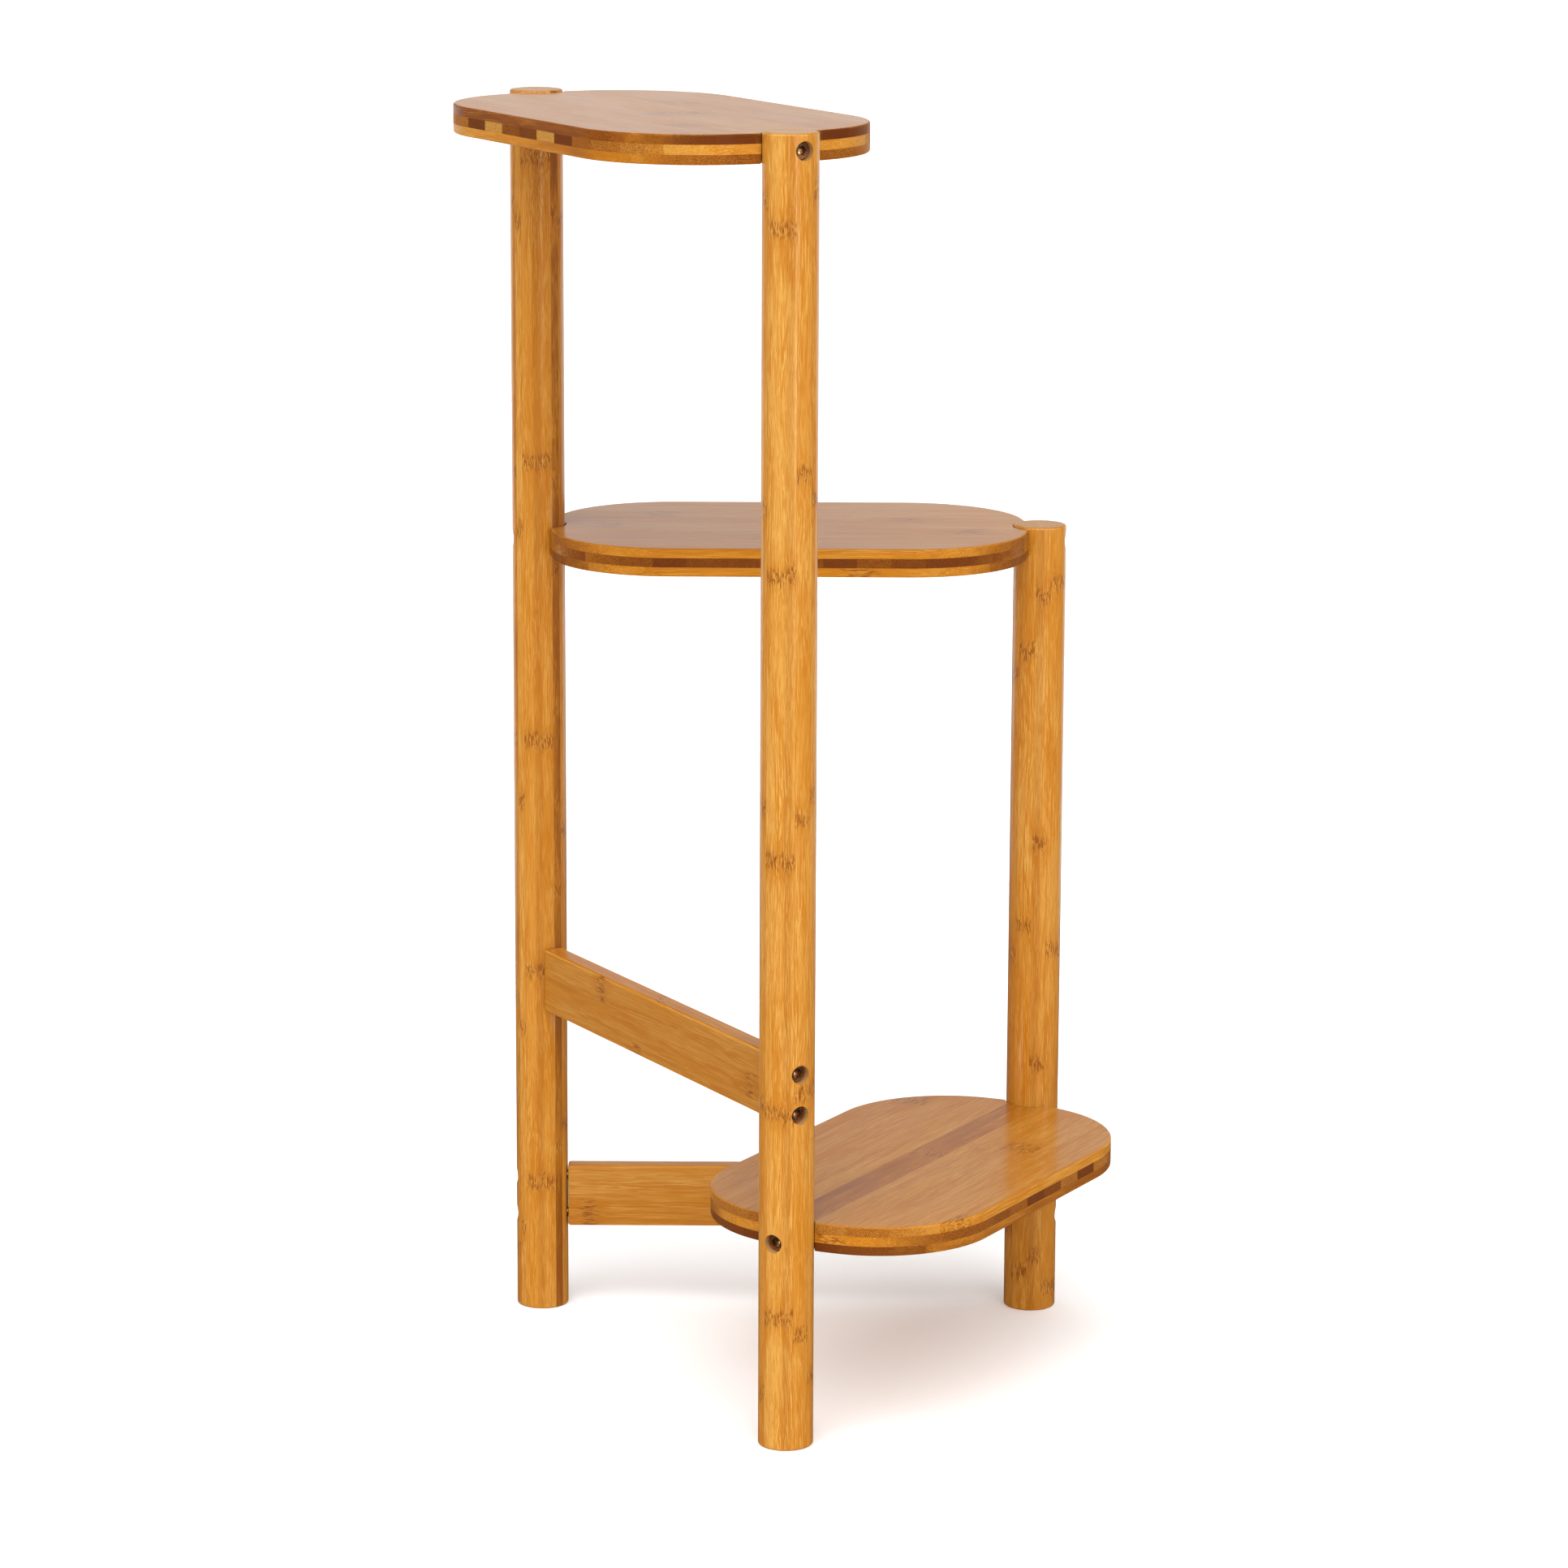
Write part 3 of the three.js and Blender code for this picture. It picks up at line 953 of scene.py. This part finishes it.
# The lacquer, the share of its coat that dull surfaces lack, the roughness of end grain, and the depths of
# the grain and of the lacquer's waves.
LACQUER = {"Specular_IOR_Level": 0.08, "Coat_Roughness": 0.18, "Coat_IOR": 1.42}
DULLED = 0.92
END_ROUGHNESS = 0.75
GRAIN_DEPTH = 0.08 * MM
WAVE_DEPTH = 0.05 * MM


def bamboo_shader(w, finish, vector, layout, from_ring, tone, end, raw=None, dull=None, roughness=0.42):
    """The common end of each bamboo material: fibres, colour, lacquer, thinner where dull, and the shader."""
    fibre = w.group("bamboo fibre", Vector=vector, From_Ring=from_ring, Random=layout["Random"])
    masks = {name: fibre[name] for name in FIBRE_MASKS}
    colours = {name: tuple(getattr(finish, setting)) for name, setting in FINISH_COLOURS.items()}
    colour = w.group(
        "bamboo colour", Tone=tone, Glue_Line=layout["Glue Line"], End=end, **masks, **colours
    )["Colour"]
    lacquer = w.group("lacquer", Vector=vector, Base_Roughness=roughness)
    coat = lacquer["Coat"]
    if dull is not None:
        coat = w.times(coat, w.line(dull, -DULLED, 1.0))
    if raw is not None:
        colour = w.mix(raw, colour, tuple(finish.raw))
        coat = w.times(coat, w.math("SUBTRACT", 1.0, raw))
    grain = w.bump(fibre["Height"], 0.35, GRAIN_DEPTH)
    finish_material(
        w, Base_Color=colour, Roughness=w.mix(end, lacquer["Roughness"], END_ROUGHNESS),
        Normal=w.bump(lacquer["Height"], 0.25, WAVE_DEPTH, Normal=grain), Coat_Weight=coat, **LACQUER,
    )


# The usual distance between culm rings in each kind of piece, and how far in front of the middle of a leg or
# rail its first row of strips starts, in millimetres.
LEG_RINGS, SHELF_RINGS, RAIL_RINGS = 165.0, 400.0, 210.0
LEG_FRONT, RAIL_FRONT = 16.0, 6.5

# Each leg's lamination in millimetres: the width and thickness of its strips, the shift across, and for the
# marked strips, which face the front, by column and row, the tone and the heights of the culm rings.
LEG_STRIPS = {
    "front": {
        "width": 20.0, "thickness": 6.0, "shift": 16.0, "seed": 3.0,
        "marked": {
            (0, 0): (0.12, (80.0, 202.0, 350.0, 513.0, 707.0)),
            (1, 0): (0.30, (70.0, 213.0, 375.0, 571.0)),
        },
    },
    "left": {
        "width": 18.0, "thickness": 6.5, "shift": 9.0, "seed": 11.0,
        "marked": {
            (-1, 0): (0.15, (52.0, 182.0, 326.0, 495.0, 681.0)),
            (0, 0): (0.40, (82.0, 218.0, 364.0, 536.0, 720.0)),
            (1, 0): (0.92, (105.0, 270.0, 470.0, 686.0)),
        },
    },
    "right": {
        "width": 9.1, "thickness": 17.0, "shift": 2.8, "seed": 23.0,
        "marked": {
            (-1, 0): (0.38, (26.0, 248.0, 420.0)),
            (0, 0): (0.26, (36.0, 160.0, 300.0, 455.0)),
            (1, 0): (0.45, (15.0, 232.0, 463.0)),
        },
    },
}


def leg_material(leg, finish):
    strips = LEG_STRIPS[leg]
    size = box_size("leg_" + leg)
    height, radius = size.z / MM, size.x / MM / 2
    material, w = new_material("leg bamboo " + leg)
    place = local_place(w, (*LEG_PLACE[leg], 0), 0.0)
    along = w.split(place)[2]
    layout, tone, from_ring = lamination(w, strips, place, along, strips["thickness"], LEG_FRONT, LEG_RINGS)
    tone = w.span(tone, 0.0, 1.0, 0.1, 0.7, smooth=False)
    from_ring, tone = own_strips(w, layout, strips["marked"], from_ring, tone, along, 0.0, height)
    end = end_grain(w, w.split(w.add("ShaderNodeNewGeometry").outputs["Normal"])[2])
    tone = w.mix(end, tone, w.times(tone, 0.2))
    inside = w.span(w.vector("LENGTH", w.scale(place, 1.0, 0.0)), radius - 0.7, radius - 0.3, 1.0, 0.0)
    from_end = w.math("MINIMUM", along, w.math("SUBTRACT", height, along))
    raw = w.times(inside, w.math("GREATER_THAN", from_end, 2.0))
    bamboo_shader(w, finish, place, layout, from_ring, tone, end, raw)
    return material


# How far either way from its middle a shelf's culm rings are placed, and a place beyond the board for none.
SHELF_END = 300.0
NO_RING = (-290.0,)

# For each shelf: the width of its strips and the shift across, the range of tones on its faces and on the
# edges of its outer plies, the tones of the core's strips from the given column on, and the marked strips of
# the upper ply, by column and row, with their tones and culm rings.
SHELF_STRIPS = {
    "shelf_top": {
        "width": 21.5, "shift": 12.7, "seed": 5.0, "face": (0.25, 0.50), "upper": (0.95, 1.08),
        "lower": (0.62, 0.80), "first": -6,
        "core": (0.30, 0.50, 0.35, 0.50, 1.00, 0.12, 0.80, 0.95, 0.10, 1.00, 0.62, 0.52, 0.40, 0.15),
        "marked": {},
    },
    "shelf_middle": {
        "width": 20.3, "shift": 7.95, "seed": 12.0, "face": (0.25, 0.50), "upper": (0.45, 0.60),
        "lower": (0.62, 0.80), "first": -7,
        "core": (0.95, 1.00, 0.78, 0.82, 1.00, 0.90, 0.92, 0.90, 0.86, 0.98, 0.80, 0.92, 1.00, 1.00, 1.00),
        "marked": {},
    },
    "shelf_bottom": {
        "width": 21.6, "shift": 7.25, "seed": 19.0, "face": (0.20, 0.42), "upper": (0.38, 0.52),
        "lower": (0.85, 1.00), "first": -6,
        "core": (0.60, 0.70, 0.75, 0.70, 0.78, 0.66, 1.00, 0.88, 0.50, 1.00, 0.45, 0.55, 0.45, 0.60),
        "marked": {
            (-3, 2): (0.22, NO_RING),
            (-2, 2): (0.12, (53.0,)),
            (-1, 2): (0.22, NO_RING),
            (0, 2): (0.78, (16.0,)),
            (1, 2): (0.15, NO_RING),
            (2, 2): (0.22, NO_RING),
            (3, 2): (0.28, (112.0,)),
            (4, 2): (0.30, NO_RING),
        },
    },
}


def shelf_material(shelf, finish):
    """Three plies: the outer two run along the board, the core across it."""
    strips = SHELF_STRIPS[shelf]
    material, w = new_material("shelf bamboo " + shelf)
    place = local_place(w, box_centre(shelf), span_turn(shelf))
    long, wide, up = w.split(place)
    ply = SHELF_SIZE.z / MM / 3
    plies = w.math("DIVIDE", up, ply)
    core = w.math("LESS_THAN", w.absolute(plies), 0.5)
    upper = w.math("GREATER_THAN", plies, 0.5)
    across = w.mix(core, wide, long)
    along = w.mix(core, long, wide)
    vector = w.join(across, up, along)
    layout, random, from_ring = lamination(w, strips, vector, along, ply, ply * 1.5, SHELF_RINGS)
    face = w.span(random, 0.2, 0.8, *strips["face"], smooth=False)
    from_ring, face = own_strips(w, layout, strips["marked"], from_ring, face, long, -SHELF_END, SHELF_END)
    outer = w.mix(upper, *(w.span(random, 0.2, 0.8, *strips[ply_name]) for ply_name in ("lower", "upper")))
    edge = w.mix(core, outer, tone_by_column(w, layout["Column"], strips["first"], strips["core"]))
    normal = w.add("ShaderNodeNewGeometry").outputs["Normal"]
    level = w.absolute(w.split(normal)[2])
    tone = w.mix(w.span(level, 0.88, 0.98), edge, face)
    end_long, end_wide = (
        w.absolute(w.vector("DOT_PRODUCT", normal, span_axis(shelf, turned))) for turned in (0, math.pi / 2)
    )
    end = w.span(w.mix(core, end_long, end_wide), 0.35, 0.95, 0.0, 0.95)
    bamboo_shader(
        w, finish, w.scale(vector, 1.0, 0.6), layout, w.times(from_ring, 0.5), tone, end,
        dull=off_level(w, level), roughness=0.36,
    )
    return material


# Each rail's lamination, as a leg's, with places measured from the rail's middle.
RAIL_STRIPS = {
    "rail_upper": {
        "width": 15.7, "thickness": 6.5, "shift": 3.5, "seed": 41.0,
        "marked": {(-1, 0): (0.28, (-62.0,)), (0, 0): (0.48, (122.0,)), (1, 0): (0.25, (-15.7,))},
    },
    "rail_lower": {
        "width": 21.3, "thickness": 6.5, "shift": -1.8, "seed": 44.0,
        "marked": {(-1, 0): (0.28, (110.0,)), (0, 0): (0.34, (-124.0,))},
    },
}


def rail_material(rail, finish):
    strips = RAIL_STRIPS[rail]
    half = RAIL_SIZE.x / MM / 2
    material, w = new_material("rail bamboo " + rail)
    place = local_place(w, box_centre(rail), span_turn(rail), math.pi / 2)
    along = w.split(place)[2]
    layout, tone, from_ring = lamination(w, strips, place, along, strips["thickness"], RAIL_FRONT, RAIL_RINGS)
    tone = w.span(tone, 0.0, 1.0, 0.3, 0.6, smooth=False)
    from_ring, tone = own_strips(w, layout, strips["marked"], from_ring, tone, along, -half, half)
    normal = w.add("ShaderNodeNewGeometry").outputs["Normal"]
    end = end_grain(w, w.vector("DOT_PRODUCT", normal, span_axis(rail)))
    level = w.absolute(w.split(normal)[2])
    rounding = w.times(w.span(level, 0.1, 0.3), off_level(w, level))
    dull = w.math("MAXIMUM", end, rounding)
    bamboo_shader(w, finish, w.scale(place, 1.0, 0.5), layout, from_ring, tone, end, dull=dull)
    return material


# Where a bolt's thread starts, from its leg's axis, in millimetres. Its pitch is one millimetre.
THREAD_START = -16.0


def bolt_material(finish):
    """Bronzed steel: mottled, with a painted highlight on the head's chamfered rim, threaded on its shank."""
    material, w = new_material("bolt bronze")
    place = w.add("ShaderNodeAttribute", attribute_name="bolt_place").outputs["Vector"]
    x, y, z = w.split(place)
    radius = w.vector("LENGTH", w.join(x, y, 0.0))
    mottle = w.noise(place, (0.6, 0.6), 3.0, 0.6)["Fac"]
    head_top = HEAD_TOP / MM
    # The head's chamfered rim is mixed toward a brighter bronze: a painted highlight where light catches the
    # rim.
    edge = w.times(w.span(z, head_top - 0.9, head_top - 0.1), w.span(radius, 4.0, 4.7))
    bronze = tuple(finish.bronze)
    dark = tuple(value * 0.45 for value in bronze)
    rim_highlight_bronze = tuple(min(1.0, value * 2.1) for value in bronze)
    colour = w.mix(w.span(mottle, 0.35, 0.65), bronze, dark)
    colour = w.mix(w.times(edge, 0.6), colour, rim_highlight_bronze)
    turnings = w.times(w.math("ARCTAN2", y, x), 1 / (2 * math.pi))
    thread = w.absolute(w.from_middle(w.math("ADD", z, turnings)))
    threaded = w.span(z, THREAD_START, THREAD_START - 0.4)
    turning = w.math("FRACT", w.times(radius, 4.0))
    height = w.mix(threaded, w.times(turning, 0.04), thread)
    finish_material(
        w, Base_Color=colour, Metallic=1.0, Roughness=w.span(mottle, 0.3, 0.7, 0.15, 0.32),
        Normal=w.bump(height, 0.6, 0.6 * MM),
    )
    return material


def insert_material(finish):
    """Zinc-plated steel with a faint grey mottle."""
    material, w = new_material("insert zinc")
    place = w.add("ShaderNodeTexCoord").outputs["Object"]
    crystals = w.cells(place, (900.0, 900.0))["Color"]
    shade = w.add("ShaderNodeSeparateColor", {0: crystals}).outputs[0]
    zinc = tuple(finish.zinc)
    dull = tuple(value * 0.7 for value in zinc)
    ridges = w.noise(place, (2500.0, 2500.0), 2.0)["Fac"]
    finish_material(
        w, Base_Color=w.mix(shade, zinc, dull), Metallic=1.0, Roughness=w.span(shade, 0.0, 1.0, 0.3, 0.5),
        Normal=w.bump(ridges, 0.2, 0.1 * MM),
    )
    return material


# ---- Operators

# The way from the stand to the lamp on its right. The other lamp is its mirror image.
LAMP_WAY = (0.814, -0.470, 0.342)


class PLANTSTAND_OT_legs(bpy.types.Operator):
    """Turns the three legs, drills them for their bolts and finishes them in bamboo"""

    bl_idname = "plant_stand.legs"
    bl_label = "Legs"
    bl_options = {"REGISTER", "UNDO"}

    def execute(self, context):
        sizes, finish = context.scene.stand_sizes, context.scene.stand_finish
        head = BOLT_SIZE.y / 2 + sizes.head_gap
        shank = sizes.shank_diameter / 2 + sizes.shank_gap
        seat = HEAD_TOP - sizes.head_height - SEAT_SLACK
        drill = stepped_drill(
            "leg drill", head, shank, seat, sizes.leg_diameter, -sizes.leg_diameter, sizes.hole_sides
        )
        for leg in LEGS:
            post = make_leg(leg, sizes, drill)
            dress(post, "leg_" + leg, "leg_bamboo", leg_material(leg, finish))
        remove(drill)
        return {"FINISHED"}


class PLANTSTAND_OT_shelves(bpy.types.Operator):
    """Shapes one three-ply shelf and fits its copies between the legs"""

    bl_idname = "plant_stand.shelves"
    bl_label = "Shelves"
    bl_options = {"REGISTER", "UNDO"}

    def execute(self, context):
        sizes, finish = context.scene.stand_sizes, context.scene.stand_finish
        fit_copies(make_shelf(sizes), SHELVES, "shelf_bamboo", shelf_material, finish)
        return {"FINISHED"}


class PLANTSTAND_OT_rails(bpy.types.Operator):
    """Shapes one rail and fits its copies between the legs"""

    bl_idname = "plant_stand.rails"
    bl_label = "Rails"
    bl_options = {"REGISTER", "UNDO"}

    def execute(self, context):
        sizes, finish = context.scene.stand_sizes, context.scene.stand_finish
        fit_copies(make_rail(sizes), RAILS, "rail_bamboo", rail_material, finish)
        return {"FINISHED"}


class PLANTSTAND_OT_bolts(bpy.types.Operator):
    """Makes one socket-head bolt, puts its copies in the legs and plates the inserts they screw into"""

    bl_idname = "plant_stand.bolts"
    bl_label = "Bolts and Inserts"
    bl_options = {"REGISTER", "UNDO"}

    def execute(self, context):
        sizes, finish = context.scene.stand_sizes, context.scene.stand_finish
        bolt = make_bolt(sizes)
        bronze = bolt_material(finish)
        for node in BOLTS:
            copy = copy_of(bolt, node)
            apply_place(copy, bolt_place(node))
            dress(copy, node, "bolt_bronze", bronze)
        remove(bolt)
        zinc = insert_material(finish)
        for node in INSERTS:
            insert = frame["nodes"][node]
            insert.data.materials.clear()
            insert.data.materials.append(zinc)
        return {"FINISHED"}


class PLANTSTAND_OT_stage(bpy.types.Operator):
    """Sets the pale floor, the soft studio light and the camera"""

    bl_idname = "plant_stand.stage"
    bl_label = "Studio"
    bl_options = {"REGISTER", "UNDO"}

    def execute(self, context):
        stage = context.scene.stand_stage
        self.lay_floor(stage)
        self.hang_lights(context, stage)
        self.place_camera(context, stage)
        return {"FINISHED"}

    def lay_floor(self, stage):
        """A pale floor that looks dark in glossy surfaces, but for a glowing screen to each side behind."""
        floor = added("floor", bpy.ops.mesh.primitive_plane_add, size=80, location=(0, 20, 0))
        floor.data.name = "floor"
        material, w = new_material("pale floor")
        clouds = w.noise(w.add("ShaderNodeTexCoord").outputs["Object"], (0.8, 0.8), 2.0)["Fac"]
        shade = w.mix(clouds, (0.88, 0.88, 0.88), (0.92, 0.92, 0.92))
        mirrored = w.add("ShaderNodeLightPath").outputs["Is Glossy Ray"]
        shade = w.mix(mirrored, shade, (0.05, 0.05, 0.05))
        x, y, _ = w.split(w.add("ShaderNodeNewGeometry").outputs["Position"])
        aside = w.absolute(x)
        behind = w.line(aside, -0.8, y)
        screens = w.times(w.span(aside, 0.5, 0.9), w.span(behind, 0.0, 0.3, 0.0, stage.screens))
        pale = w.add("ShaderNodeBsdfPrincipled", {
            "Base Color": shade, "Roughness": 0.9, "Specular IOR Level": 0.1, "Emission Color": (1, 1, 1, 1),
            "Emission Strength": w.mix(mirrored, 0.15, screens),
        })
        clear = w.add("ShaderNodeBsdfTransparent")
        below = w.add("ShaderNodeNewGeometry").outputs["Backfacing"]
        surface = w.add("ShaderNodeMixShader", {0: below, 1: pale.outputs[0], 2: clear.outputs[0]})
        w.add("ShaderNodeOutputMaterial", {"Surface": surface.outputs[0]})
        floor.data.materials.append(material)

    def hang_lights(self, context, stage):
        """A white room that glossy surfaces see shaded from above and with two lamps, a sun and a softbox."""
        world = bpy.data.worlds.new("pale room")
        world.use_nodes = True
        background = world.node_tree.nodes["Background"]
        w = Wiring(world.node_tree)
        seen = w.add("ShaderNodeLightPath").outputs["Is Camera Ray"]
        mirrored = w.add("ShaderNodeLightPath").outputs["Is Glossy Ray"]
        x, y, height = w.split(w.add("ShaderNodeTexCoord").outputs["Generated"])
        lamps = w.vector("DOT_PRODUCT", w.join(w.absolute(x), y, height), LAMP_WAY)
        lamps = w.span(lamps, 0.965, 0.985, 0.0, stage.lamps)
        above = w.span(height, 0.08, 0.34, stage.sky * 1.25, stage.sky * 0.6)
        room = w.mix(mirrored, stage.sky, w.math("ADD", above, lamps))
        background.inputs["Color"].default_value = (1, 1, 1, 1)
        w.feed(background.inputs["Strength"], w.mix(seen, room, 1.0))
        context.scene.world = world

        sun = added(
            "ceiling light", bpy.ops.object.light_add, type="SUN", location=(0.8, -1.0, 4),
            rotation=(math.radians(36), math.radians(-4), 0),
        )
        sun.data.energy = stage.sun
        sun.data.angle = math.radians(70)
        box = added("softbox", bpy.ops.object.light_add, type="AREA", location=(0.95, -2.1, 0.95))
        box.data.shape = "RECTANGLE"
        box.data.size = 0.4
        box.data.size_y = 1.6
        box.data.energy = stage.softbox
        aim = Vector((0, 0, 0.5)) - box.location
        box.rotation_euler = aim.to_track_quat("-Z", "Y").to_euler()

    def place_camera(self, context, stage):
        camera = added("camera", bpy.ops.object.camera_add, location=stage.camera_place)
        turn = (
            Matrix.Rotation(stage.camera_turn, 4, "Z")
            @ Matrix.Rotation(math.pi / 2 - stage.camera_pitch, 4, "X")
            @ Matrix.Rotation(stage.camera_roll, 4, "Z")
        )
        camera.rotation_euler = turn.to_euler()
        camera.data.lens = stage.lens
        camera.data.sensor_width = 36
        camera.data.clip_start = 0.05
        camera.data.clip_end = 200
        context.scene.camera = camera
        context.scene.view_settings.view_transform = "Standard"


class PLANTSTAND_PT_panel(bpy.types.Panel):
    bl_label = "Tiered Plant Stand"
    bl_idname = "PLANTSTAND_PT_panel"
    bl_space_type = "VIEW_3D"
    bl_region_type = "UI"
    bl_category = "Plant Stand"

    def draw(self, context):
        layout = self.layout
        for operator in STEPS:
            layout.operator(operator.bl_idname)
        for label, owner, group in (
            ("Sizes", context.scene.stand_sizes, StandSizes),
            ("Finish", context.scene.stand_finish, StandFinish),
            ("Studio", context.scene.stand_stage, StandStage),
        ):
            box = layout.box()
            box.label(text=label)
            for name in group.__annotations__:
                box.prop(owner, name)


STEPS = (
    PLANTSTAND_OT_legs,
    PLANTSTAND_OT_shelves,
    PLANTSTAND_OT_rails,
    PLANTSTAND_OT_bolts,
    PLANTSTAND_OT_stage,
)
SETTINGS = {"stand_sizes": StandSizes, "stand_finish": StandFinish, "stand_stage": StandStage}


def register():
    for kind in (*SETTINGS.values(), *STEPS, PLANTSTAND_PT_panel):
        bpy.utils.register_class(kind)
    for name, kind in SETTINGS.items():
        setattr(bpy.types.Scene, name, PointerProperty(type=kind))


def unregister():
    for name in SETTINGS:
        delattr(bpy.types.Scene, name)
    for kind in (PLANTSTAND_PT_panel, *reversed(STEPS), *reversed(list(SETTINGS.values()))):
        bpy.utils.unregister_class(kind)


def main():
    register()
    bpy.ops.plant_stand.legs()
    bpy.ops.plant_stand.shelves()
    bpy.ops.plant_stand.rails()
    bpy.ops.plant_stand.bolts()
    bpy.ops.plant_stand.stage()


if __name__ == "__main__":
    main()
